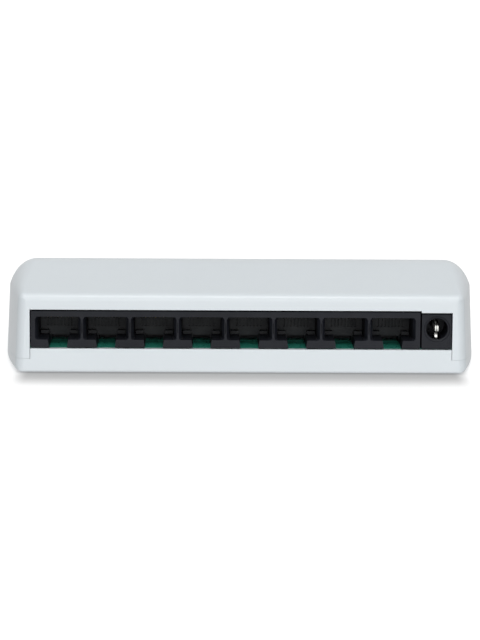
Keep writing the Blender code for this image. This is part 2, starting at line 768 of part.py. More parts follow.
def make_board_parts(materials, case):
    for i in range(PORTS // 2):
        place = (port_x(2 * i) + PORT_PITCH / 2, TRANSFORMER_DEPTH)
        make_block(f"lan_transformer_{i + 1}", materials["chip"], case, place, TRANSFORMER_SIZE)
    for name, (place, size) in RESIN_BLOCKS.items():
        make_block(name, materials["chip"], case, place, size)
    for name, (place, size) in METAL_BLOCKS.items():
        make_block(name, materials["steel"], case, place, size)
    for i, place in enumerate(CAPACITORS, start=1):
        make_can(f"capacitor_{i}", materials["steel"], case, place)


def make_lights(materials, case):
    """Side-looking lamps along the board's front edge, and the clear bar that feeds the windows."""
    for i, x in enumerate(LIGHT_XS):
        name = f"led_{i}" if i else "led_power"
        make_block(name, materials["light"], case, (x, PCB_FRONT - LAMP_SETBACK), LAMP_SIZE)

    back = PCB_FRONT + 0.4
    front = CASE_DEPTH - WALL - 0.7
    half = LIGHT_XS[-1] + 5.0
    bm = bmesh.new()
    add_box(bm, (-half, back, PART_BASE), (half, front, PART_BASE + GUIDE_HEIGHT))
    guide = make_object("light_guide", bm, materials["clear"], case)
    bm = bmesh.new()
    for x in LIGHT_XS:
        wide = WINDOW[0] / 2 - GAP
        tall = WINDOW[1] / 2 - GAP
        low = (x - wide, front - 1.0, LIGHT_HEIGHT - tall)
        add_box(bm, low, (x + wide, CASE_DEPTH - 0.2, LIGHT_HEIGHT + tall))
    combine(guide, make_cutter("light_guide_prongs", bm, case), "UNION")


def build():
    clear_scene()
    materials = make_materials()
    case = bpy.data.objects.new("case", None)
    bpy.context.scene.collection.objects.link(case)
    case.location = Vector((0.0, -CASE_DEPTH / 2, FOOT_PROUD)) * MM
    make_top_cover(materials, case)
    make_base_tray(materials, case)
    make_board(materials, case)
    make_gang(materials, case)
    make_contact_inserts(materials, case)
    make_contacts(materials, case)
    make_inlet(materials, case)
    make_fasteners(materials, case)
    make_feet_and_label(materials, case)
    make_board_parts(materials, case)
    make_lights(materials, case)


build()
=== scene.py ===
"""The looks of the desktop network switch: shells, jacks, contacts, board parts, materials and studio."""
import json
import math

import bmesh
import bpy
from mathutils import Matrix, Vector


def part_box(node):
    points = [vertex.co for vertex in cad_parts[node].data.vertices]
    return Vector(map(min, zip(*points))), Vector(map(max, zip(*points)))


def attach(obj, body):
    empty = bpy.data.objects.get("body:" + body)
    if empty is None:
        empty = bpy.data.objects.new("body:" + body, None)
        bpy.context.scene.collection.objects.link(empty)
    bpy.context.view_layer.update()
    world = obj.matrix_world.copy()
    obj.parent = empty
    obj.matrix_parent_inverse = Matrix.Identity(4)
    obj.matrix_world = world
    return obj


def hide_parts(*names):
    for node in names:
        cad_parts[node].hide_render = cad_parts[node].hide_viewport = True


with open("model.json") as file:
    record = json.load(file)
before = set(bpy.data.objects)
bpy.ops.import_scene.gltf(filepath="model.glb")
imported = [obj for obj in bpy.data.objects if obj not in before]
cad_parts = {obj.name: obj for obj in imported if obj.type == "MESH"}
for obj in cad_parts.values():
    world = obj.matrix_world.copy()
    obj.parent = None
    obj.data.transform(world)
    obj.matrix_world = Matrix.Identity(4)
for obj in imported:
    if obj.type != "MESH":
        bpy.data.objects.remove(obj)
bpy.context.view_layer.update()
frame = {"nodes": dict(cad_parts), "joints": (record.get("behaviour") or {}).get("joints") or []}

MM = 0.001


def node_box(node):
    """A CAD node's lowest and highest corners, in millimetres, in the row frame."""
    low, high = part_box(node)
    return low / MM, high / MM


# The case frame: x across, depth from the port face, height from the case's underside, in millimetres.
TRAY_LOW, TRAY_HIGH = node_box("base_tray")
ORIGIN = Vector((0.0, TRAY_LOW.y, TRAY_LOW.z))
CASE_DEPTH = TRAY_HIGH.y - TRAY_LOW.y

# The case's outline: crease, ridge and nose are (depth, height), and rear is the port face's end.
# Each shoulder is (width, height, first angle) of the rounding between side wall and roof.
HALF_WIDTH = 65.65
SIDE_BOW = 5.05
SIDE_DRAFT = math.radians(2.6)
WALL = 2.0
CREASE = (0.0, 22.8)
RIDGE = (23.4, 30.75)
NOSE = (80.0, 17.0)
CREASE_RADIUS = 2.8
RIDGE_RADIUS = 12.0
NOSE_RADIUS = 5.0
REAR_CORNER_RADIUS = 2.2
FRONT_CORNER_RADIUS = 8.0
HEM_RADIUS = 1.6
REAR_HEM_RADIUS = 0.6
LEAST_RADIUS = 0.35
SHOULDER_REAR = (1.5, 1.5, 0.0)
SHOULDER_RIDGE = (8.25, 7.6, 23.0)
SHOULDER_NOSE = (5.5, 5.0, 20.0)

# Where cover and tray meet, and what is cut into them or stands inside: each side lip is (start, end,
# steps) in depth, and the front lip is two corners of its plan
SEAM = 3.95
SEAM_GAP = 0.03
STRIP_GAP = 0.12
OPENING_GAP = 0.3
OPENING_HEADROOM = 0.5
LIP_TOP = 6.2
LIP_WIDTH = 1.3
LIP_GAP = 0.5
SIDE_LIPS = ((30.0, 66.0, 6), (WALL + 0.3, 5.0, 2))
FRONT_LIP = ((-48.0, 76.3), (48.0, 77.5))
WINDOW_HALF = (1.6, 0.7)
WINDOW_HEIGHT = 9.2
WINDOW_RADIUS = 0.45
PRONG_GAP = 0.12
SIDE_SLOTS = 9
SIDE_SLOT_START = 34.0
SIDE_SLOT_PITCH = 3.4
SIDE_SLOT_HALF = (0.7, 3.5)
SIDE_SLOT_HEIGHT = 11.5
FLOOR_SLOTS = 6
FLOOR_SLOT_START = 29.0
FLOOR_SLOT_PITCH = 3.6
FLOOR_SLOT_HALF = (0.8, 7.0)
FLOOR_SLOT_DEPTH = 57.0
FOOT_POCKET_RADIUS = 5.1
FOOT_POCKET_TOP = 0.6
LABEL_POCKET_TOP = 0.25
LABEL_GAP = 0.3
LABEL_THICKNESS = 0.12

# Screws
CASE_SCREWS = ((-59.5, 24.0), (59.5, 24.0), (-58.0, 70.0), (58.0, 70.0))
SCREW_HOLE_RADIUS = 1.5
SCREW_HOLE_TOP = 14.0
COVER_BOSS_RADIUS = 3.5
TRAY_BOSS_RADIUS = 4.6
COUNTERBORE = (3.2, 1.95)
BOARD_POST_RADIUS = 3.2
SCREW_HEAD = ((0.6, 0.0), (1.5, 0.1), (2.2, 0.4), (2.6, 1.0), (2.6, 1.5), (1.2, 1.5))
SCREW_CREST = 1.2
SCREW_ROOT = 0.95
SCREW_RIDGE = 0.3
CROSS_HALF = (1.5, 0.26)

# Jacks: the sprung end of each wire passes through (depth, height) from its hinge
PORTS = 8
CAVITY_HALF_WIDTH = 5.9
CAVITY_FLOOR = 9.65
CAVITY_ROOF = 16.3
MOUTH_HALF_WIDTH = 6.83
MOUTH_FLARE = 0.15
MOUTH_DEPTH = 1.3
LATCH_TOP_HALF_WIDTH = 2.95
LATCH_BASE_HALF_WIDTH = 2.45
WIRE_RECESS_HALF_WIDTH = 4.3
WIRE_RECESS_START = 3.2
WIRE_RECESS_TOP = 17.1
RIB_HOLLOW_HALF_WIDTH = 0.15
RIB_HOLLOW_HEIGHTS = (11.5, 14.6)
RIB_HOLLOW_DEPTH = 0.7
WIRES = 8
WIRE_RADIUS = 0.19
WIRE_PITCH = 1.02
WIRE_FOLD = 0.34
SPRUNG_LINE = ((3.0, -1.05), (5.4, -1.62), (6.6, -1.86), (7.2, -1.86), (7.6, -1.74))
GROOVE_HALF_WIDTH = 0.28
GROOVE_BASE = 11.8
GROOVE_DEPTH = 0.6
STEP_HALF_WIDTHS = (3.2, 5.5)
STEP_REACH = 2.5
FLANK_HALF_WIDTH = 5.84
TAIL_HALF_WIDTH = 5.4
TAIL_END = 20.6
TAIL_TOP = 12.0
TUNNEL_HALF_WIDTH = 2.6
TUNNEL_TOP = 9.1

# DC inlet: the leaf's middle line is (depth, height) from its hinge
BORE_RADIUS = 3.15
BORE_DEPTH = 10.5
PIN_FLAT_HALF_WIDTH = 0.52
PIN_SPLIT_HALF_WIDTH = 0.1
LEAF_LINE = ((0.5, 0.15), (-2.0, 0.75), (-4.0, 1.6), (-5.0, 2.1), (-5.6, 2.32), (-6.1, 2.28),
             (-6.45, 1.95), (-6.65, 1.5), (-6.8, 1.0))
LEAF_HALF_THICKNESS = 0.15
LEAF_HALF_WIDTH = 0.42

# Board: the depth of one bright band across it, which is a painted glint
PAINTED_GLINT_DEPTH = 15.4
LEG_THICKNESS = 0.15


def case_frame(node):
    """A CAD node's lowest and highest corners in the case frame."""
    low, high = node_box(node)
    return low - ORIGIN, high - ORIGIN


def middle(node):
    low, high = case_frame(node)
    return (low + high) / 2


def hinge(name):
    """A joint's place in the case frame."""
    place = next(joint["pos_m"] for joint in frame["joints"] if joint["name"] == name)
    return Vector(place) / MM - ORIGIN


GANG_LOW, GANG_HIGH = case_frame("rj45_housing")
INLET_LOW, INLET_HIGH = case_frame("dc_jack_housing")
INSERT_FACE = case_frame("contact_insert_1")[0].y
BOARD_LOW, BOARD_HIGH = case_frame("pcb")
OPENING_LEFT = GANG_LOW.x - OPENING_GAP
OPENING_RIGHT = INLET_HIGH.x + OPENING_GAP
OPENING_TOP = GANG_HIGH.z + OPENING_HEADROOM
OPENING_TOP_INLET = INLET_HIGH.z + OPENING_HEADROOM
OPENING_STEP = GANG_HIGH.x + OPENING_GAP
STRIP_TOP = BOARD_HIGH.z
PORT_XS = [middle(f"contact_insert_{i + 1}").x for i in range(PORTS)]
LIGHT_NODES = ["led_power"] + [f"led_{i + 1}" for i in range(PORTS)]
LIGHT_XS = [middle(node).x for node in LIGHT_NODES]


# ---- Mesh helpers -------------------------------------------------------------------------------

def add_box(bm, low, high):
    size = [high[i] - low[i] for i in range(3)]
    centre = [(high[i] + low[i]) / 2 for i in range(3)]
    place = Matrix.Translation(centre) @ Matrix.Diagonal((*size, 1.0))
    bmesh.ops.create_cube(bm, size=1.0, matrix=place)


def add_loft(bm, rings):
    """A closed solid through rings that hold the same number of points."""
    levels = [[bm.verts.new(point) for point in ring] for ring in rings]
    count = len(rings[0])
    for lower, upper in zip(levels, levels[1:]):
        for i in range(count):
            j = (i + 1) % count
            bm.faces.new((lower[i], lower[j], upper[j], upper[i]))
    bm.faces.new(list(reversed(levels[0])))
    bm.faces.new(levels[-1])


def add_prism(bm, outline, axis, start, end):
    """An outline swept straight along x, y (depth) or z; its points hold the other two coordinates."""
    place = {
        "x": lambda a, b, s: (s, a, b),
        "y": lambda a, b, s: (a, s, b),
        "z": lambda a, b, s: (a, b, s),
    }[axis]
    add_loft(bm, [[place(a, b, s) for a, b in outline] for s in (start, end)])


def add_turned(bm, centre, profile, axis="z", segments=32):
    """A turned solid: profile holds (radius, position along the axis) from end to end."""
    rings = []
    for radius, along in profile:
        ring = []
        for i in range(segments):
            angle = 2 * math.pi * i / segments
            a = centre[0] + radius * math.cos(angle)
            b = centre[1] + radius * math.sin(angle)
            ring.append((a, b, along) if axis == "z" else (a, along, b))
        rings.append(ring)
    add_loft(bm, rings)


def add_rod(bm, centre, radius, start, end, segments=32):
    add_turned(bm, centre, ((radius, start), (radius, end)), segments=segments)


def add_wire(bm, x, path, radius, segments=8):
    """A round wire whose path, as (depth, height), stays in one upright plane."""
    points = [Vector(point) for point in path]
    rings = []
    for i, point in enumerate(points):
        ahead = points[min(i + 1, len(points) - 1)]
        behind = points[max(i - 1, 0)]
        along = (ahead - behind).normalized()
        across = Vector((-along.y, along.x))
        ring = []
        for k in range(segments):
            angle = 2 * math.pi * k / segments
            shift = across * (radius * math.sin(angle))
            ring.append((x + radius * math.cos(angle), point.x + shift.x, point.y + shift.y))
        rings.append(ring)
    add_loft(bm, rings)


def arc(centre, radius, start, end, steps):
    """Points of an arc in a plane; angles in degrees."""
    points = []
    for k in range(steps + 1):
        angle = math.radians(start + (end - start) * k / steps)
        points.append((centre[0] + radius * math.cos(angle), centre[1] + radius * math.sin(angle)))
    return points


def rectangle(centre, half):
    """The corners of an outline from its middle and half its two sides."""
    signs = ((-1, -1), (1, -1), (1, 1), (-1, 1))
    return [(centre[0] + a * half[0], centre[1] + b * half[1]) for a, b in signs]


def plan(node, margin=0.0):
    """The corners of a CAD node seen from above, grown by a margin."""
    low, high = case_frame(node)
    half = (high - low) / 2
    return rectangle(middle(node), (half.x + margin, half.y + margin))


def rounded_outline(corners, radius, steps=4):
    """A closed outline with each corner rounded; radius is one number or one for each corner."""
    points = []
    count = len(corners)
    radii = radius if isinstance(radius, (list, tuple)) else [radius] * count
    for i in range(count):
        corner = Vector(corners[i])
        before = (Vector(corners[i - 1]) - corner).normalized()
        after = (Vector(corners[(i + 1) % count]) - corner).normalized()
        if radii[i] <= 0:
            points.append(tuple(corner))
            continue
        half = before.angle(after) / 2
        centre = corner + (before + after).normalized() * (radii[i] / math.sin(half))
        reach = radii[i] / math.tan(half)
        first = corner + before * reach - centre
        sweep = first.angle_signed(corner + after * reach - centre)
        for k in range(steps + 1):
            points.append(tuple(centre + Matrix.Rotation(-sweep * k / steps, 2) @ first))
    return points


def write_mesh(name, bm):
    """A mesh in metres in the row frame, from one drawn in millimetres in the case frame."""
    bmesh.ops.recalc_face_normals(bm, faces=bm.faces)
    bmesh.ops.translate(bm, verts=bm.verts, vec=ORIGIN)
    bmesh.ops.scale(bm, vec=(MM, MM, MM), verts=bm.verts)
    mesh = bpy.data.meshes.new(name)
    bm.to_mesh(mesh)
    bm.free()
    mesh.shade_smooth()
    return mesh


def make_object(name, bm):
    obj = bpy.data.objects.new(name, write_mesh(name, bm))
    bpy.context.scene.collection.objects.link(obj)
    return obj


def settle(obj):
    """Replaces a piece's mesh by what its modifiers make of it."""
    graph = bpy.context.evaluated_depsgraph_get()
    mesh = bpy.data.meshes.new_from_object(obj.evaluated_get(graph))
    old = obj.data
    obj.modifiers.clear()
    obj.data = mesh
    bpy.data.meshes.remove(old)


def combine(obj, bm, operation="DIFFERENCE"):
    """Cuts a helper solid out of a piece, or joins it on."""
    helper = make_object("helper", bm)
    modifier = obj.modifiers.new("combine", "BOOLEAN")
    modifier.operation = operation
    modifier.solver = "EXACT"
    modifier.object = helper
    settle(obj)
    bpy.data.objects.remove(helper, do_unlink=True)


def combine_box(obj, low, high, operation="DIFFERENCE"):
    """Cuts a box out of a piece, or joins it on."""
    bm = bmesh.new()
    add_box(bm, low, high)
    combine(obj, bm, operation)


def make_block(name, low, high):
    """A box as the start of a piece."""
    bm = bmesh.new()
    add_box(bm, low, high)
    return make_object(name, bm)


def round_edges(obj, width):
    """Rounds every edge that turns by more than 40 degrees."""
    modifier = obj.modifiers.new("edges", "BEVEL")
    modifier.width = width * MM
    modifier.segments = 2
    modifier.limit_method = "ANGLE"
    modifier.angle_limit = math.radians(40.0)
    modifier.use_clamp_overlap = True
    settle(obj)


def finish_piece(obj, body, material, nodes=(), sharp=None):
    """Smooths a piece, gives it its material, and puts it on its body."""
    obj.data.shade_smooth()
    if sharp is not None:
        obj.data.set_sharp_from_angle(angle=math.radians(sharp))
    normals = obj.modifiers.new("normals", "WEIGHTED_NORMAL")
    normals.keep_sharp = True
    obj.data.materials.clear()
    obj.data.materials.append(material)
    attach(obj, body)
    if nodes:
        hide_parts(*nodes)


# ---- Materials ----------------------------------------------------------------------------------

class Finish:
    """A procedural material under construction: its nodes, in the object's own coordinates in metres."""

    def __init__(self, name, colour, roughness, metallic=0.0):
        self.material = bpy.data.materials.new(name)
        self.material.use_nodes = True
        self.nodes = self.material.node_tree.nodes
        self.links = self.material.node_tree.links
        self.shader = self.nodes["Principled BSDF"]
        self.shader.inputs["Base Color"].default_value = (*colour, 1.0)
        self.shader.inputs["Roughness"].default_value = roughness
        self.shader.inputs["Metallic"].default_value = metallic
        self.material.diffuse_color = (*colour, 1.0)
        self.place = self.nodes.new("ShaderNodeTexCoord").outputs["Object"]

    def set(self, **values):
        for name, value in values.items():
            self.shader.inputs[name.replace("_", " ")].default_value = value
        return self

    def noise(self, size_mm, detail=3.0, roughness=0.5, stretch=None):
        """A noise value from 0 to 1, with features of about that size."""
        source = self.place
        if stretch:
            mapping = self.nodes.new("ShaderNodeMapping")
            mapping.inputs["Scale"].default_value = stretch
            self.links.new(source, mapping.inputs["Vector"])
            source = mapping.outputs["Vector"]
        node = self.nodes.new("ShaderNodeTexNoise")
        node.inputs["Scale"].default_value = 1.0 / (size_mm * MM)
        node.inputs["Detail"].default_value = detail
        node.inputs["Roughness"].default_value = roughness
        self.links.new(source, node.inputs["Vector"])
        return node.outputs["Fac"]

    def spread(self, value, low, high, from_low=0.3, from_high=0.7):
        """The value stretched from one range to another."""
        node = self.nodes.new("ShaderNodeMapRange")
        names = ("From Min", "From Max", "To Min", "To Max")
        for name, number in zip(names, (from_low, from_high, low, high)):
            node.inputs[name].default_value = number
        self.links.new(value, node.inputs["Value"])
        return node.outputs["Result"]

    def math(self, operation, value, number=None):
        """Arithmetic on a value, with a number or another value."""
        node = self.nodes.new("ShaderNodeMath")
        node.operation = operation
        self.links.new(value, node.inputs[0])
        if isinstance(number, bpy.types.NodeSocket):
            self.links.new(number, node.inputs[1])
        elif number is not None:
            node.inputs[1].default_value = number
        return node.outputs["Value"]

    def bricks(self, size_mm, **values):
        """A brick pattern of that size."""
        node = self.nodes.new("ShaderNodeTexBrick")
        node.inputs["Scale"].default_value = 1.0 / (size_mm * MM)
        for name, number in values.items():
            node.inputs[name.replace("_", " ")].default_value = number
        self.links.new(self.place, node.inputs["Vector"])
        return node

    def distance_from(self, axis, middle_mm):
        """How far a point is from a plane across the X or Y axis, in metres."""
        split = self.nodes.new("ShaderNodeSeparateXYZ")
        self.links.new(self.place, split.inputs["Vector"])
        return self.math("ABSOLUTE", self.math("ADD", split.outputs[axis], -middle_mm * MM))

    def blend(self, value, first, second):
        """A colour that goes from first to second as value goes from 0 to 1."""
        node = self.nodes.new("ShaderNodeMix")
        node.data_type = "RGBA"
        self.links.new(value, node.inputs["Factor"])
        for socket, colour in ((node.inputs[6], first), (node.inputs[7], second)):
            if isinstance(colour, bpy.types.NodeSocket):
                self.links.new(colour, socket)
            else:
                socket.default_value = (*colour, 1.0)
        return node.outputs[2]

    def tint(self, colour):
        self.links.new(colour, self.shader.inputs["Base Color"])

    def rough(self, value):
        self.links.new(value, self.shader.inputs["Roughness"])

    def bump(self, value, depth_mm, strength=1.0):
        node = self.nodes.new("ShaderNodeBump")
        node.inputs["Strength"].default_value = strength
        node.inputs["Distance"].default_value = depth_mm * MM
        self.links.new(value, node.inputs["Height"])
        before = self.shader.inputs["Normal"]
        if before.is_linked:
            self.links.new(before.links[0].from_socket, node.inputs["Normal"])
        self.links.new(node.outputs["Normal"], before)


def shade(colour, factor):
    return tuple(min(channel * factor, 1.0) for channel in colour)


def moulded(name, colour, rough_low, rough_high, grain_mm, grain_depth, variation=0.03):
    """Moulded plastic: a fine spark-eroded grain, slow flow marks and an even, slightly uneven sheen."""
    finish = Finish(name, colour, (rough_low + rough_high) / 2)
    flow = finish.spread(finish.noise(26.0, detail=4.0, stretch=(1.0, 0.5, 1.0)), 0.0, 1.0)
    finish.tint(finish.blend(flow, shade(colour, 1 - variation), shade(colour, 1 + variation)))
    finish.rough(finish.spread(finish.noise(3.5, detail=5.0), rough_low, rough_high))
    finish.bump(finish.noise(grain_mm, detail=2.0), grain_depth)
    return finish


def make_materials():
    made = {}
    case = moulded("case_plastic", (0.60, 0.645, 0.672), 0.38, 0.46, 0.22, 0.006, 0.012)
    case.set(Coat_Weight=0.6, Coat_Roughness=0.32)
    case.set(Specular_IOR_Level=0.4, Subsurface_Weight=0.04, Subsurface_Radius=(0.003, 0.0028, 0.0026))
    made["case"] = case.material

    jack = moulded("jack_plastic", (0.0085, 0.0095, 0.0135), 0.42, 0.54, 0.12, 0.004, 0.2)
    made["jack"] = jack.set(Specular_IOR_Level=0.19).material
    insert = moulded("insert_plastic", (0.014, 0.0155, 0.018), 0.5, 0.62, 0.12, 0.004, 0.2)
    made["insert"] = insert.set(Specular_IOR_Level=0.25).material

    rubber = moulded("foot_rubber", (0.028, 0.028, 0.029), 0.75, 0.92, 0.3, 0.02, 0.15)
    made["rubber"] = rubber.material
    made["board"] = board_finish()
    made["gold"] = metal("gold_contact", (0.78, 0.56, 0.2), 0.2, 0.34)
    made["steel"] = metal("nickel_plate", (0.72, 0.71, 0.69), 0.16, 0.3)
    made["pin"] = metal("bright_nickel", (0.86, 0.86, 0.82), 0.42, 0.55)
    made["can"] = metal("capacitor_can", (0.6, 0.61, 0.63), 0.25, 0.4)
    made["tin"] = metal("tinned_leg", (0.66, 0.66, 0.66), 0.28, 0.45)
    made["chip"] = moulded("chip_resin", (0.022, 0.022, 0.023), 0.5, 0.68, 0.08, 0.008, 0.15).material
    made["sleeve"] = moulded("ferrite", (0.05, 0.05, 0.055), 0.55, 0.75, 0.1, 0.01, 0.2).material
    made["guide"] = clear_finish()
    made["light"] = moulded("light_lens", (0.52, 0.74, 0.46), 0.15, 0.22, 0.5, 0.002, 0.05).material
    made["label"] = label_finish()
    return made


def metal(name, colour, rough_low, rough_high):
    """Plated metal: fine drawn lines and small stains in its gloss."""
    finish = Finish(name, colour, (rough_low + rough_high) / 2, 1.0)
    lines = finish.noise(0.5, detail=4.0, stretch=(1.0, 0.12, 1.0))
    finish.rough(finish.spread(lines, rough_low, rough_high))
    stains = finish.spread(finish.noise(1.2), 0.0, 1.0)
    finish.tint(finish.blend(stains, shade(colour, 0.9), shade(colour, 1.06)))
    finish.bump(lines, 0.002)
    return finish.material


def board_finish():
    """Green solder mask over copper: patches of fine tracks on a dark ground, and one wide bright band that
    is a painted glint.
    """
    ground = (0.029, 0.285, 0.208)
    track = (0.048, 0.400, 0.300)
    painted_glint_colour = (0.11, 0.60, 0.47)
    finish = Finish("solder_mask", ground, 0.32)
    runs = finish.bricks(6.0, Mortar_Size=0.06, Mortar_Smooth=0.1, Brick_Width=0.9, Row_Height=0.12)
    patch = finish.spread(finish.noise(9.0, detail=1.0), 0.0, 1.0, 0.46, 0.5)
    tracks = finish.blend(runs.outputs["Fac"], track, ground)
    # Painted glint: a narrow lighter band across the board at one depth, standing in for light caught there
    distance = finish.distance_from("Y", ORIGIN.y + PAINTED_GLINT_DEPTH)
    wide = finish.spread(distance, 1.0, 0.0, 0.6 * MM, 0.8 * MM)
    finish.tint(finish.blend(wide, finish.blend(patch, ground, tracks), painted_glint_colour))
    finish.rough(finish.spread(finish.noise(1.5), 0.24, 0.4))
    finish.bump(runs.outputs["Fac"], 0.03, 0.6)
    finish.bump(finish.noise(0.4), 0.004)
    finish.set(Coat_Weight=0.3, Coat_Roughness=0.15)
    return finish.material


def clear_finish():
    """Clear moulded plastic with a slightly uneven sheen."""
    finish = Finish("clear_guide", (0.86, 0.9, 0.9), 0.12)
    finish.rough(finish.spread(finish.noise(2.0), 0.08, 0.2))
    finish.bump(finish.noise(0.6), 0.003)
    finish.set(Transmission_Weight=0.75, IOR=1.49)
    return finish.material


def label_finish():
    """A blank film label: soft white with a faint printed grid of empty boxes."""
    paper = (0.78, 0.79, 0.79)
    line = (0.60, 0.61, 0.62)
    finish = Finish("label_film", paper, 0.4)
    boxes = finish.bricks(24.0, Mortar_Size=0.012, Brick_Width=0.62, Row_Height=0.24)
    boxes.offset = 0.0
    finish.tint(finish.blend(boxes.outputs["Fac"], paper, line))
    finish.rough(finish.spread(finish.noise(0.8), 0.34, 0.48))
    finish.bump(finish.noise(0.25), 0.003)
    return finish.material


# ---- Case ---------------------------------------------------------------------------------------

def roof_line(steps):
    """Side view of the roof from the port face over the ridge to the nose, as (depth, height)."""
    corners = ((0.0, 0.0), CREASE, RIDGE, NOSE, (CASE_DEPTH, 0.0))
    radii = (0.0, CREASE_RADIUS, RIDGE_RADIUS, NOSE_RADIUS, 0.0)
    return rounded_outline(corners, radii, steps)[1:-1]


ROOF = roof_line(24)


def roof_height(depth):
    """The roof's height above the case's underside at a depth."""
    for near, far in zip(ROOF, ROOF[1:]):
        if near[0] <= depth <= far[0] and far[0] > near[0]:
            return near[1] + (far[1] - near[1]) * (depth - near[0]) / (far[0] - near[0])
    return ROOF[-1][1] if depth > RIDGE[0] else ROOF[0][1]


def quarter_inset(distance, radius):
    """How far a rounded corner stands back, at a distance from where it ends."""
    if distance >= radius:
        return 0.0
    return radius - math.sqrt(max(radius ** 2 - (radius - distance) ** 2, 0.0))


def end_inset(depth):
    rear = quarter_inset(depth, REAR_CORNER_RADIUS)
    return rear + quarter_inset(CASE_DEPTH - depth, FRONT_CORNER_RADIUS)


def half_width(depth):
    centre = CASE_DEPTH / 2
    return HALF_WIDTH + SIDE_BOW * (1 - ((depth - centre) / centre) ** 2) - end_inset(depth)


def floor_height(depth):
    return quarter_inset(depth, REAR_HEM_RADIUS) + quarter_inset(CASE_DEPTH - depth, HEM_RADIUS)


def smooth_step(share):
    share = min(max(share, 0.0), 1.0)
    return share * share * (3 - 2 * share)


def shoulder(depth):
    """Width, height and first angle of the rounding at a depth: almost sharp at the port face."""
    if depth < RIDGE[0]:
        near, far, share = SHOULDER_REAR, SHOULDER_RIDGE, depth / RIDGE[0]
    else:
        share = smooth_step((depth - RIDGE[0]) / (NOSE[0] - RIDGE[0]))
        near, far = SHOULDER_RIDGE, SHOULDER_NOSE
    return [a + (b - a) * share for a, b in zip(near, far)]


def shoulder_points(foot, width, height, start, steps):
    """The rounding from the top of the side wall, which it leaves at an angle, to the roof."""
    first = math.radians(start)
    points = []
    for k in range(steps + 1):
        angle = first + (math.pi / 2 - first) * k / steps
        across = width * (1 - math.cos(angle) / math.cos(first))
        up = height * (math.sin(angle) - math.sin(first)) / (1 - math.sin(first))
        points.append((foot[0] - across, foot[1] + up))
    return points


def case_ring(depth, inset, steps):
    """The case's cross-section at a depth, drawn in by inset on every side."""
    low = floor_height(depth) + inset
    high = roof_height(depth) - inset
    tallest = 0.45 * (high - low)
    drawn_in = inset + end_inset(depth)
    hem = min(max(HEM_RADIUS - drawn_in, LEAST_RADIUS), tallest)
    width, height, start = shoulder(depth)
    width = max(width - drawn_in, LEAST_RADIUS)
    height = min(max(height - drawn_in, LEAST_RADIUS), tallest)
    bottom = half_width(depth) - inset
    top = bottom - (high - height - low - hem) * math.tan(SIDE_DRAFT)
    right = arc((bottom - hem, low + hem), hem, -90, 0, steps)
    right += shoulder_points((top, high - height), width, height, start, steps)
    left = [(-x, z) for x, z in reversed(right)]
    return [(x, depth, z) for x, z in right + left]


def stations(start, end, spacing, arc_steps):
    """Depths of the rings: even steps, and finer ones where the case turns a corner."""
    count = round((end - start) / spacing)
    depths = {start + (end - start) * k / count for k in range(count)}
    for k in range(1, arc_steps + 1):
        share = 1 - math.cos(math.radians(90 * k / arc_steps))
        depths.add(REAR_CORNER_RADIUS * share)
        depths.add(CASE_DEPTH - FRONT_CORNER_RADIUS * share)
        depths.add(CASE_DEPTH - NOSE_RADIUS * share)
    depths = sorted(depth for depth in depths if start < depth < end)
    kept = [start]
    for depth in depths:
        if depth - kept[-1] > 0.02 and end - depth > 0.02:
            kept.append(depth)
    return kept + [end]


def case_body(inset=0.0, spacing=2.0, arc_steps=10):
    """The whole case as one solid, or the space inside its walls."""
    bm = bmesh.new()
    depths = stations(inset, CASE_DEPTH - inset, spacing, arc_steps)
    add_loft(bm, [case_ring(depth, inset, arc_steps) for depth in depths])
    return bm


def make_cover(materials):
    """Upper shell: notch over the jacks, light windows, side slots and screw bosses."""
    cover = make_object("cover_shell", case_body())
    combine(cover, case_body(WALL, 5.0, 5))
    combine_box(cover, (-90, -5, -5), (90, CASE_DEPTH + 5, SEAM + SEAM_GAP / 2))
    round_edges(cover, 0.06)

    bm = bmesh.new()
    outline = ((OPENING_LEFT, SEAM - 1), (OPENING_RIGHT, SEAM - 1), (OPENING_RIGHT, OPENING_TOP_INLET),
               (OPENING_STEP, OPENING_TOP_INLET), (OPENING_STEP, OPENING_TOP), (OPENING_LEFT, OPENING_TOP))
    add_prism(bm, outline, "y", -1.0, WALL + 0.6)
    for x in LIGHT_XS:
        corners = rectangle((x, WINDOW_HEIGHT), WINDOW_HALF)
        add_prism(bm, rounded_outline(corners, WINDOW_RADIUS), "y", CASE_DEPTH - WALL - 1, CASE_DEPTH + 1)
    add_side_slots(bm)
    combine(cover, bm)
    round_edges(cover, 0.22)

    bm = bmesh.new()
    for x, depth in CASE_SCREWS:
        top = min(roof_height(depth) - WALL + 0.3, roof_height(depth + COVER_BOSS_RADIUS) - 0.5)
        add_rod(bm, (x, depth), COVER_BOSS_RADIUS, SEAM + 0.05, top, segments=24)
    combine(cover, bm, "UNION")
    bm = bmesh.new()
    for x, depth in CASE_SCREWS:
        add_rod(bm, (x, depth), SCREW_HOLE_RADIUS, SEAM - 1, SCREW_HOLE_TOP, segments=24)
    combine(cover, bm)
    finish_piece(cover, "case", materials["case"], ["top_cover"], sharp=50)


def add_side_slots(bm):
    """A row of upright round-ended slots in each side wall."""
    for side in (-1, 1):
        ends = sorted((side * (HALF_WIDTH - WALL), side * (HALF_WIDTH + SIDE_BOW + 1)))
        for i in range(SIDE_SLOTS):
            centre = (SIDE_SLOT_START + SIDE_SLOT_PITCH * i, SIDE_SLOT_HEIGHT)
            slot = rounded_outline(rectangle(centre, SIDE_SLOT_HALF), SIDE_SLOT_HALF[0] - 0.01)
            add_prism(bm, slot, "x", *ends)


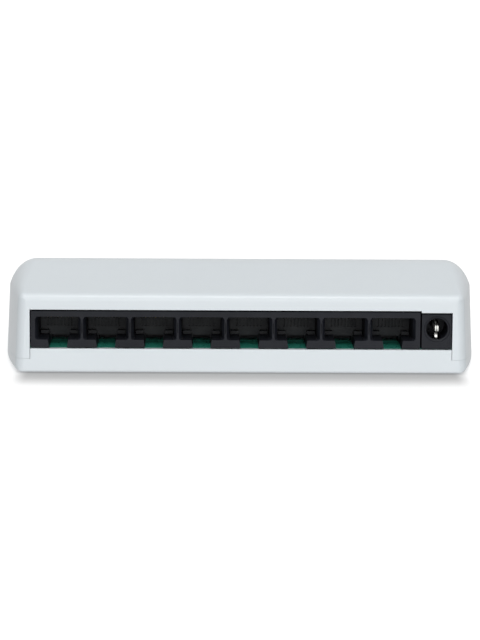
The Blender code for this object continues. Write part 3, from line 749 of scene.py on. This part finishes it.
def make_tray(materials):
    """Lower shell: floor, rim, the upright strip under the jacks, bosses, pockets, vents and lips."""
    tray = make_object("tray_shell", case_body())
    combine(tray, case_body(WALL, 5.0, 5))
    rim = SEAM - SEAM_GAP / 2
    left = OPENING_LEFT + STRIP_GAP
    right = OPENING_RIGHT - STRIP_GAP
    outline = ((-90, rim), (left, rim), (left, STRIP_TOP), (right, STRIP_TOP), (right, rim), (90, rim),
               (90, 50), (-90, 50))
    bm = bmesh.new()
    add_prism(bm, outline, "y", -5.0, WALL + 0.5)
    combine(tray, bm)
    combine_box(tray, (-90, WALL + 0.45, rim), (90, CASE_DEPTH + 5, 50))
    round_edges(tray, 0.06)

    bm = bmesh.new()
    for x, depth in CASE_SCREWS:
        add_rod(bm, (x, depth), TRAY_BOSS_RADIUS, WALL / 2, SEAM - 0.15)
    combine(tray, bm, "UNION")
    bm = bmesh.new()
    add_tray_cuts(bm)
    combine(tray, bm)
    round_edges(tray, 0.15)

    bm = bmesh.new()
    for side in (-1, 1):
        for start, end, steps in SIDE_LIPS:
            add_prism(bm, side_lip(side, start, end, steps), "z", WALL / 2, LIP_TOP)
    add_box(bm, (*FRONT_LIP[0], WALL / 2), (*FRONT_LIP[1], LIP_TOP))
    for node in ("pcb_screw_1", "pcb_screw_2"):
        centre = middle(node)
        add_rod(bm, (centre.x, centre.y), BOARD_POST_RADIUS, WALL / 2, BOARD_LOW.z - 0.02, segments=24)
    combine(tray, bm, "UNION")
    finish_piece(tray, "case", materials["case"], ["base_tray"], sharp=50)


def add_tray_cuts(bm):
    """Screw holes with counterbores, foot pockets, the label's recess and two groups of vents."""
    radius, top = COUNTERBORE
    hole = ((radius, -1.0), (radius, top), (SCREW_HOLE_RADIUS, top + 0.01), (SCREW_HOLE_RADIUS, 6.0))
    for x, depth in CASE_SCREWS:
        add_turned(bm, (x, depth), hole)
    for i in range(4):
        centre = middle(f"foot_{i + 1}")
        add_rod(bm, (centre.x, centre.y), FOOT_POCKET_RADIUS, -1.0, FOOT_POCKET_TOP, segments=48)
    add_prism(bm, rounded_outline(plan("rating_label", LABEL_GAP), 1.2), "z", -1.0, LABEL_POCKET_TOP)
    for side in (-1, 1):
        for i in range(FLOOR_SLOTS):
            centre = (side * (FLOOR_SLOT_START + FLOOR_SLOT_PITCH * i), FLOOR_SLOT_DEPTH)
            slot = rounded_outline(rectangle(centre, FLOOR_SLOT_HALF), FLOOR_SLOT_HALF[0] - 0.01)
            add_prism(bm, slot, "z", -1.0, WALL + 1)


def side_lip(side, start, end, steps):
    """Plan of a lip that follows the inside of a side wall and centres the cover."""
    depths = [start + (end - start) * k / steps for k in range(steps + 1)]
    outer = [(side * (half_width(depth) - WALL - LIP_GAP), depth) for depth in depths]
    inner = [(x - side * LIP_WIDTH, depth) for x, depth in reversed(outer)]
    return outer + inner


# ---- Jacks --------------------------------------------------------------------------------------

def port_outline(x, half, floor, roof, chamfer):
    """Front view of a port: a wide cavity over a latch channel that narrows downwards."""
    low = GANG_LOW.z - 1.0
    return ((x - LATCH_BASE_HALF_WIDTH, low), (x + LATCH_BASE_HALF_WIDTH, low),
            (x + LATCH_TOP_HALF_WIDTH, floor), (x + half - chamfer, floor), (x + half, floor + chamfer),
            (x + half, roof - chamfer * 1.6), (x + half - chamfer, roof),
            (x - half + chamfer, roof), (x - half, roof - chamfer * 1.6), (x - half, floor + chamfer),
            (x - half + chamfer, floor), (x - LATCH_TOP_HALF_WIDTH, floor))


def make_gang(materials):
    """One block of eight jacks: flared mouths, latch channels open below, wire recesses in the roof."""
    gang = make_block("jack_gang", GANG_LOW, GANG_HIGH)
    face = GANG_LOW.y
    cavities, mouths, recesses, backs = (bmesh.new() for _ in range(4))
    for x in PORT_XS:
        add_prism(cavities, port_outline(x, CAVITY_HALF_WIDTH, CAVITY_FLOOR, CAVITY_ROOF, 0.35), "y",
                  face - 1, INSERT_FACE + 0.5)
        outer = port_outline(x, MOUTH_HALF_WIDTH, CAVITY_FLOOR - MOUTH_FLARE, CAVITY_ROOF, 0.5)
        inner = port_outline(x, CAVITY_HALF_WIDTH, CAVITY_FLOOR, CAVITY_ROOF, 0.3)
        add_loft(mouths, [[(a, face - 0.3, b) for a, b in outer],
                          [(a, face + MOUTH_DEPTH, b) for a, b in inner]])
        add_box(recesses, (x - WIRE_RECESS_HALF_WIDTH, WIRE_RECESS_START, CAVITY_ROOF - 0.5),
                (x + WIRE_RECESS_HALF_WIDTH, INSERT_FACE + 1, WIRE_RECESS_TOP))
        add_box(backs, (x - CAVITY_HALF_WIDTH, INSERT_FACE - 0.1, GANG_LOW.z - 1),
                (x + CAVITY_HALF_WIDTH, GANG_HIGH.y + 1, WIRE_RECESS_TOP + 0.05))
    for cutter in (cavities, mouths, recesses, backs):
        combine(gang, cutter)
    round_edges(gang, 0.14)
    hollows = bmesh.new()
    for left, right in zip(PORT_XS, PORT_XS[1:]):
        rib = (left + right) / 2
        add_box(hollows, (rib - RIB_HOLLOW_HALF_WIDTH, face - 1, RIB_HOLLOW_HEIGHTS[0]),
                (rib + RIB_HOLLOW_HALF_WIDTH, face + RIB_HOLLOW_DEPTH, RIB_HOLLOW_HEIGHTS[1]))
    combine(gang, hollows)
    finish_piece(gang, "case", materials["jack"], ["rj45_housing"], sharp=50)


def wire_xs(x):
    return [x + WIRE_PITCH * (k - (WIRES - 1) / 2) for k in range(WIRES)]


def make_inserts(materials):
    """The carrier behind each port: a wall with grooves for the wires, two low steps and a hollow tail."""
    for i, x in enumerate(PORT_XS):
        low, high = case_frame(f"contact_insert_{i + 1}")
        insert = make_block(f"insert_{i + 1}", low, high)
        grooves = bmesh.new()
        for centre in wire_xs(x):
            add_box(grooves, (centre - GROOVE_HALF_WIDTH, low.y - 1, GROOVE_BASE),
                    (centre + GROOVE_HALF_WIDTH, low.y + GROOVE_DEPTH, high.z + 1))
        combine(insert, grooves)
        steps = bmesh.new()
        for side in (-1, 1):
            near, far = sorted(x + side * half for half in STEP_HALF_WIDTHS)
            add_box(steps, (near, low.y - STEP_REACH, CAVITY_FLOOR + 0.1),
                    (far, low.y + 0.5, CAVITY_FLOOR + 1.1))
        combine(insert, steps, "UNION")
        flanks = ((x - FLANK_HALF_WIDTH, low.y + 0.7, low.z + 0.02),
                  (x + FLANK_HALF_WIDTH, high.y - 0.02, high.z - 0.02))
        combine_box(insert, *flanks, "UNION")
        tail = ((x - TAIL_HALF_WIDTH, low.y + 1, BOARD_HIGH.z + 0.03),
                (x + TAIL_HALF_WIDTH, TAIL_END, TAIL_TOP))
        combine_box(insert, *tail, "UNION")
        tunnel = ((x - TUNNEL_HALF_WIDTH, low.y - 1, low.z - 1),
                  (x + TUNNEL_HALF_WIDTH, TAIL_END - 0.4, TUNNEL_TOP))
        combine_box(insert, *tunnel)
        round_edges(insert, 0.12)
        finish_piece(insert, "case", materials["insert"], [f"contact_insert_{i + 1}"],
                     sharp=50)


def make_contacts(materials):
    """Each port's wires: fixed runs along the roof, and the sprung ends that turn about their folds."""
    for i, x in enumerate(PORT_XS):
        root = hinge(f"contact_flex_{i + 1}")
        run = ((root.y - 0.02, root.z + WIRE_FOLD), (INSERT_FACE + 1.2, root.z + WIRE_FOLD))
        sprung = arc((root.y, root.z), WIRE_FOLD, 90, 255, 10)
        sprung += [(root.y + a, root.z + b) for a, b in SPRUNG_LINE]
        runs = bmesh.new()
        ends = bmesh.new()
        for wire_x in wire_xs(x):
            add_wire(runs, wire_x, run, WIRE_RADIUS)
            add_wire(ends, wire_x, sprung, WIRE_RADIUS)
        finish_piece(make_object(f"wire_runs_{i + 1}", runs), "case", materials["gold"])
        finish_piece(make_object(f"wire_ends_{i + 1}", ends), f"contact_springs_{i + 1}",
                     materials["gold"], [f"contacts_{i + 1}"])


def make_inlet(materials):
    """DC inlet: a block with a stepped round mouth, a split centre pin and a bent leaf spring."""
    pin_middle = middle("dc_jack_centre_pin")
    x, height = pin_middle.x, pin_middle.z
    make_inlet_block(materials, x, height)
    make_inlet_pin(materials, x, height)
    make_inlet_spring(materials, x)


def make_inlet_block(materials, x, height):
    low, high = INLET_LOW, INLET_HIGH
    housing = make_block("inlet_block", low, high)
    bore = bmesh.new()
    profile = ((3.95, low.y - 0.5), (3.75, low.y + 0.35), (3.2, low.y + 0.36), (BORE_RADIUS, low.y + 0.8),
               (BORE_RADIUS, low.y + BORE_DEPTH), (1.3, low.y + BORE_DEPTH + 0.01), (1.3, high.y + 1))
    add_turned(bore, (x, height), profile, axis="y", segments=48)
    combine(housing, bore)
    combine_box(housing, (x - 1.3, 1.8, height - 4.6), (x + 1.3, 12.2, height - 1.0))
    round_edges(housing, 0.15)
    finish_piece(housing, "case", materials["jack"], ["dc_jack_housing"], sharp=50)


def make_inlet_pin(materials, x, height):
    low, high = case_frame("dc_jack_centre_pin")
    radius = (high.x - low.x) / 2
    profile = [(radius * 0.25, low.y)]
    profile += [(radius * math.sin(math.radians(a)), low.y + radius * 0.4 * (1 - math.cos(math.radians(a))))
                for a in (30, 50, 70, 90)]
    profile += [(radius, high.y - 0.3), (radius * 0.8, high.y)]
    bm = bmesh.new()
    add_turned(bm, (x, height), profile, axis="y", segments=32)
    pin = make_object("inlet_pin", bm)
    combine_box(pin, (x - PIN_SPLIT_HALF_WIDTH, low.y - 1, height - 2),
                (x + PIN_SPLIT_HALF_WIDTH, low.y + 5.0, height + 2))
    for side in (-1, 1):
        near, far = sorted((x + side * PIN_FLAT_HALF_WIDTH, x + side * 2.0))
        combine_box(pin, (near, low.y - 1, height - 2), (far, high.y + 1, height + 2))
    finish_piece(pin, "case", materials["pin"], ["dc_jack_centre_pin"], sharp=35)


def make_inlet_spring(materials, x):
    root = hinge("inlet_spring_flex")
    outline = [(root.y + a, root.z + b - LEAF_HALF_THICKNESS) for a, b in LEAF_LINE]
    outline += [(root.y + a, root.z + b + LEAF_HALF_THICKNESS) for a, b in reversed(LEAF_LINE)]
    bm = bmesh.new()
    add_prism(bm, outline, "x", x - LEAF_HALF_WIDTH, x + LEAF_HALF_WIDTH)
    spring = make_object("inlet_leaf", bm)
    round_edges(spring, 0.08)
    finish_piece(spring, "inlet_spring", materials["pin"], ["dc_jack_spring"], sharp=35)


# ---- Feet, fasteners, label ---------------------------------------------------------------------

def make_feet(materials):
    """Rubber feet: soft-edged discs with a shallow moulded ring."""
    for i in range(4):
        low, high = case_frame(f"foot_{i + 1}")
        centre = (low + high) / 2
        radius = (high.x - low.x) / 2
        profile = ((radius * 0.45, low.z + 0.14), (radius * 0.55, low.z + 0.12), (radius * 0.62, low.z),
                   (radius - 0.7, low.z), (radius - 0.3, low.z + 0.1), (radius - 0.08, low.z + 0.32),
                   (radius, low.z + 0.6), (radius, high.z))
        bm = bmesh.new()
        add_turned(bm, (centre.x, centre.y), profile, segments=48)
        finish_piece(make_object(f"rubber_foot_{i + 1}", bm), "case", materials["rubber"],
                     [f"foot_{i + 1}"])


def make_screws(materials):
    """Pan-head screws with a cross recess and a ridged shank."""
    nodes = [(f"case_screw_{i + 1}", False) for i in range(4)]
    nodes += [(f"pcb_screw_{i + 1}", True) for i in range(2)]
    for node, head_up in nodes:
        low, high = case_frame(node)
        centre = (low + high) / 2
        length = high.z - low.z
        profile = list(SCREW_HEAD)
        for k in range(int((length - 2.6) / SCREW_RIDGE)):
            profile.append((SCREW_CREST if k % 2 else SCREW_ROOT, 1.6 + SCREW_RIDGE * k))
        profile.append((0.3, length))
        if head_up:
            profile = [(r, high.z - a) for r, a in profile]
            tip, deep = high.z, -1.0
        else:
            profile = [(r, low.z + a) for r, a in profile]
            tip, deep = low.z, 1.0
        bm = bmesh.new()
        add_turned(bm, (centre.x, centre.y), profile, segments=28)
        screw = make_object(node.replace("screw", "fastener"), bm)
        base, top = sorted((tip - deep * 1.0, tip + deep * 0.9))
        for wide, long in (CROSS_HALF, CROSS_HALF[::-1]):
            combine_box(screw, (centre.x - wide, centre.y - long, base),
                        (centre.x + wide, centre.y + long, top))
        finish_piece(screw, "case", materials["steel"], [node], sharp=35)


def make_label(materials):
    """A thin blank label with rounded corners."""
    base = case_frame("rating_label")[0].z
    bm = bmesh.new()
    add_prism(bm, rounded_outline(plan("rating_label"), 1.0), "z", base, base + LABEL_THICKNESS)
    label = make_object("blank_label", bm)
    finish_piece(label, "case", materials["label"], ["rating_label"], sharp=35)


# ---- Board and what it carries ------------------------------------------------------------------

def add_leg_row(bm, xs, near, far, top, base, wide):
    """Gull-wing legs: out of the package's side at top, down to the board at base."""
    direction = 1 if far > near else -1
    reach = abs(far - near)
    foot = base + LEG_THICKNESS
    line = ((0.0, top), (reach * 0.35, top), (reach * 0.55, foot), (reach, foot))
    outline = [(near + direction * a, b) for a, b in line]
    outline += [(near + direction * a, b - LEG_THICKNESS) for a, b in reversed(line)]
    for x in xs:
        add_prism(bm, outline, "x", x - wide / 2, x + wide / 2)


def make_package(name, node, materials, pitch=1.27, legged=True, finish="chip"):
    """A moulded package with a draft on its sides, a pin-one dimple and rows of legs."""
    low, high = case_frame(node)
    bm = bmesh.new()
    out = 0.9 if legged else 0.0
    depth_low, depth_high = low.y + out, high.y - out
    split = (low.z + high.z) / 2
    rings = []
    for z, inset in ((low.z, 0.25), (split, 0.0), (split + 0.02, 0.0), (high.z, 0.3)):
        half = ((high.x - low.x) / 2 - inset, (depth_high - depth_low) / 2 - inset)
        corners = rectangle(middle(node), half)
        rings.append([(a, b, z) for a, b in rounded_outline(corners, 0.2, 2)])
    add_loft(bm, rings)
    body = make_object(name, bm)
    dimple = bmesh.new()
    add_rod(dimple, (low.x + 1.3, depth_low + 1.3), 0.45, high.z - 0.12, high.z + 1, segments=20)
    combine(body, dimple)
    finish_piece(body, "case", materials[finish], [node], sharp=35)
    if legged:
        legs = bmesh.new()
        base = BOARD_HIGH.z + 0.02
        count = max(int((high.x - low.x - 1.0) / pitch), 2)
        xs = [(low.x + high.x) / 2 + pitch * (k - (count - 1) / 2) for k in range(count)]
        add_leg_row(legs, xs, depth_low + 0.1, low.y, split, base, pitch * 0.35)
        add_leg_row(legs, xs, depth_high - 0.1, high.y, split, base, pitch * 0.35)
        finish_piece(make_object(f"{name}_legs", legs), "case", materials["tin"], sharp=35)


def make_can(name, node, materials):
    """An upright can capacitor: square base, crimped neck and scored top."""
    low, high = case_frame(node)
    centre = (low + high) / 2
    radius = (high.x - low.x) / 2
    bm = bmesh.new()
    profile = ((radius * 0.93, low.z + 0.6), (radius, low.z + 0.9), (radius, low.z + 1.5),
               (radius * 0.9, low.z + 1.8), (radius * 0.9, low.z + 2.0), (radius, low.z + 2.3),
               (radius, high.z - 0.5), (radius * 0.94, high.z - 0.15), (radius * 0.86, high.z))
    add_turned(bm, (centre.x, centre.y), profile, segments=40)
    body = make_object(name, bm)
    combine_box(body, (centre.x - radius * 0.6, centre.y - 0.1, high.z - 0.12),
                (centre.x + radius * 0.6, centre.y + 0.1, high.z + 1))
    finish_piece(body, "case", materials["can"], [node], sharp=35)
    seat = bmesh.new()
    corners = rectangle((centre.x, centre.y), (radius, radius))
    add_prism(seat, rounded_outline(corners, [0.9, 0.9, 0.2, 0.2], 3), "z", low.z, low.z + 0.62)
    finish_piece(make_object(f"{name}_seat", seat), "case", materials["chip"], sharp=35)


def make_board_parts(materials):
    """The board keeps its CAD mesh and gets its finish; the parts on it are made here."""
    board = frame["nodes"]["pcb"]
    board.data.materials.clear()
    board.data.materials.append(materials["board"])
    for i in range(4):
        make_package(f"transformer_{i + 1}", f"lan_transformer_{i + 1}", materials)
    make_package("switch_controller", "switch_chip", materials, pitch=0.65)
    make_package("power_regulator", "regulator", materials)
    make_package("rectifier", "diode", materials, pitch=1.8)
    make_package("choke", "inductor", materials, legged=False, finish="sleeve")
    make_package("resonator", "crystal", materials, legged=False, finish="steel")
    make_package("input_fuse", "fuse", materials, legged=False, finish="tin")
    make_can("bulk_capacitor_1", "capacitor_1", materials)
    make_can("bulk_capacitor_2", "capacitor_2", materials)


def make_lights(materials):
    """Lamps on the board's edge and the clear bar whose prongs fill the windows."""
    for i, node in enumerate(LIGHT_NODES):
        lamp = make_block(f"lamp_{i}", *case_frame(node))
        round_edges(lamp, 0.2)
        finish_piece(lamp, "case", materials["light"], [node], sharp=35)
    low, high = case_frame("light_guide")
    guide = make_block("light_pipe", low, (high.x, CASE_DEPTH - WALL - 0.7, high.z))
    prongs = bmesh.new()
    for x in LIGHT_XS:
        corners = rectangle((x, WINDOW_HEIGHT), [half - PRONG_GAP for half in WINDOW_HALF])
        add_prism(prongs, rounded_outline(corners, 0.35), "y", CASE_DEPTH - WALL - 1.7, CASE_DEPTH - 0.15)
    combine(guide, prongs, "UNION")
    round_edges(guide, 0.1)
    finish_piece(guide, "case", materials["guide"], ["light_guide"], sharp=35)


# ---- Studio -------------------------------------------------------------------------------------

# The view: distance and height of the camera from the lower edge of the port face
FOCAL_PX = 2592.0
IMAGE_LONG_SIDE = 640
VIEW_DISTANCE = 745.9
VIEW_HEIGHT = 135.8
VIEW_PITCH = math.radians(9.152)
VIEW_YAW = math.radians(-0.86)
VIEW_ROLL = math.radians(0.389)
VIEW_OFFSET = -0.4


def make_camera():
    """A long lens that faces the ports from a little above the roof; its yaw turns about the port face."""
    data = bpy.data.cameras.new("camera")
    data.sensor_width = 36.0
    data.lens = FOCAL_PX * data.sensor_width / IMAGE_LONG_SIDE
    data.clip_start = 0.01
    data.clip_end = 20.0
    camera = bpy.data.objects.new("camera", data)
    bpy.context.scene.collection.objects.link(camera)
    turn = Matrix.Rotation(VIEW_YAW, 4, "Z")
    pivot = Matrix.Translation(ORIGIN * MM)
    place = Matrix.Translation(Vector((VIEW_OFFSET, -VIEW_DISTANCE, VIEW_HEIGHT)) * MM)
    aim = Matrix.Rotation(math.radians(90) - VIEW_PITCH, 4, "X") @ Matrix.Rotation(VIEW_ROLL, 4, "Z")
    camera.matrix_world = pivot @ turn @ place @ aim
    bpy.context.scene.camera = camera


# Light, as a share of what makes a white surface white: from all round, less from the sides, and from
# three lamps, of which the top one gives no gloss and the glint gives only gloss
SKY = 0.825
SIDE_LOSS = 0.47
KEY = 0.298
KEY_ELEVATION = 10.0
KEY_AZIMUTH = 8.0
KEY_SOFTNESS = 50.0
TOP = 0.24
TOP_ELEVATION = 45.0
TOP_SOFTNESS = 8.0
GLINT = 0.22
GLINT_ELEVATION = 58.0

# The floor, and the soft shade painted on it in front of the port face
FLOOR_RADIUS = 6000.0
FLOOR_GLOW = 0.4
FLOOR_WHITE = 0.78
PAINTED_SHADE = 0.56
PAINTED_SHADE_REACH = 26.0
PAINTED_SHADE_MIDDLE = 20.0
PAINTED_SHADE_EDGE = (62.0, 68.0)


def make_sun(name, elevation, azimuth, share, softness, matte=True, glossy=True):
    """A broad far lamp; azimuth is measured from straight in front of the ports, towards +X."""
    data = bpy.data.lights.new(name, "SUN")
    data.energy = share * math.pi
    data.angle = math.radians(softness)
    light = bpy.data.objects.new(name, data)
    bpy.context.scene.collection.objects.link(light)
    light.rotation_euler = (math.radians(90.0 - elevation), 0.0, math.radians(azimuth))
    light.visible_diffuse = matte
    light.visible_glossy = glossy


def make_studio():
    """A glowing white floor that lights nothing by itself and carries a painted shade, the surround and
    three lamps.
    """
    scene = bpy.context.scene
    scene.view_settings.view_transform = "Standard"
    world = bpy.data.worlds.new("studio")
    world.use_nodes = True
    scene.world = world
    light_world(world.node_tree)

    bm = bmesh.new()
    bmesh.ops.create_circle(bm, cap_ends=True, segments=96, radius=FLOOR_RADIUS)
    floor = make_object("floor", bm)
    floor.location.z = -ORIGIN.z * MM
    floor.data.materials.append(floor_finish())
    floor.visible_diffuse = False
    floor.visible_glossy = False

    make_sun("key", KEY_ELEVATION, KEY_AZIMUTH, KEY, KEY_SOFTNESS)
    make_sun("top", TOP_ELEVATION, 0.0, TOP, TOP_SOFTNESS, glossy=False)
    make_sun("glint", GLINT_ELEVATION, 0.0, GLINT, TOP_SOFTNESS, matte=False)


def floor_finish():
    """A glowing white surface with a soft painted shade, in both its colour and its glow, that reaches out
    in front of the port face.
    """
    white = (FLOOR_WHITE, FLOOR_WHITE, FLOOR_WHITE)
    finish = Finish("floor_paint", white, 0.9)
    finish.set(Specular_IOR_Level=0.0, Emission_Color=(1.0, 1.0, 1.0, 1.0))
    along = finish.distance_from("Y", ORIGIN.y + PAINTED_SHADE_MIDDLE)
    across = finish.distance_from("X", 0.0)
    under = finish.spread(along, 1.0, 0.0, PAINTED_SHADE_MIDDLE * MM, (PAINTED_SHADE_MIDDLE + PAINTED_SHADE_REACH) * MM)
    within = finish.spread(across, 1.0, 0.0, PAINTED_SHADE_EDGE[0] * MM, PAINTED_SHADE_EDGE[1] * MM)
    for socket in (under, within):
        socket.node.interpolation_type = "SMOOTHSTEP"
    # Painted shade: where this mask is high, the floor's colour and glow are darkened in front of and under
    # the port face
    painted_shade_mask = finish.math("MULTIPLY", under, within)
    finish.tint(finish.blend(painted_shade_mask, white, shade(white, 1 - PAINTED_SHADE)))
    glow = finish.spread(painted_shade_mask, FLOOR_GLOW, FLOOR_GLOW * (1 - PAINTED_SHADE), 0.0, 1.0)
    finish.links.new(glow, finish.shader.inputs["Emission Strength"])
    return finish.material


def light_world(tree):
    """An even surround that darkens towards both sides, behind a plain white backdrop."""
    split = tree.nodes.new("ShaderNodeSeparateXYZ")
    tree.links.new(tree.nodes.new("ShaderNodeTexCoord").outputs["Generated"], split.inputs["Vector"])
    square = tree.nodes.new("ShaderNodeMath")
    square.operation = "MULTIPLY"
    for socket in square.inputs[:2]:
        tree.links.new(split.outputs["X"], socket)
    level = tree.nodes.new("ShaderNodeMapRange")
    level.inputs["To Min"].default_value = SKY
    level.inputs["To Max"].default_value = SKY - SIDE_LOSS
    tree.links.new(square.outputs["Value"], level.inputs["Value"])
    surround = tree.nodes["Background"]
    surround.inputs["Color"].default_value = (1.0, 1.0, 1.0, 1.0)
    tree.links.new(level.outputs["Result"], surround.inputs["Strength"])
    backdrop = tree.nodes.new("ShaderNodeBackground")
    backdrop.inputs["Color"].default_value = (1.0, 1.0, 1.0, 1.0)
    mix = tree.nodes.new("ShaderNodeMixShader")
    seen = tree.nodes.new("ShaderNodeLightPath")
    tree.links.new(seen.outputs["Is Camera Ray"], mix.inputs["Fac"])
    tree.links.new(surround.outputs["Background"], mix.inputs[1])
    tree.links.new(backdrop.outputs["Background"], mix.inputs[2])
    tree.links.new(mix.outputs["Shader"], tree.nodes["World Output"].inputs["Surface"])


def build():
    materials = make_materials()
    make_cover(materials)
    make_tray(materials)
    make_gang(materials)
    make_inserts(materials)
    make_contacts(materials)
    make_inlet(materials)
    make_feet(materials)
    make_screws(materials)
    make_label(materials)
    make_board_parts(materials)
    make_lights(materials)
    make_camera()
    make_studio()


build()
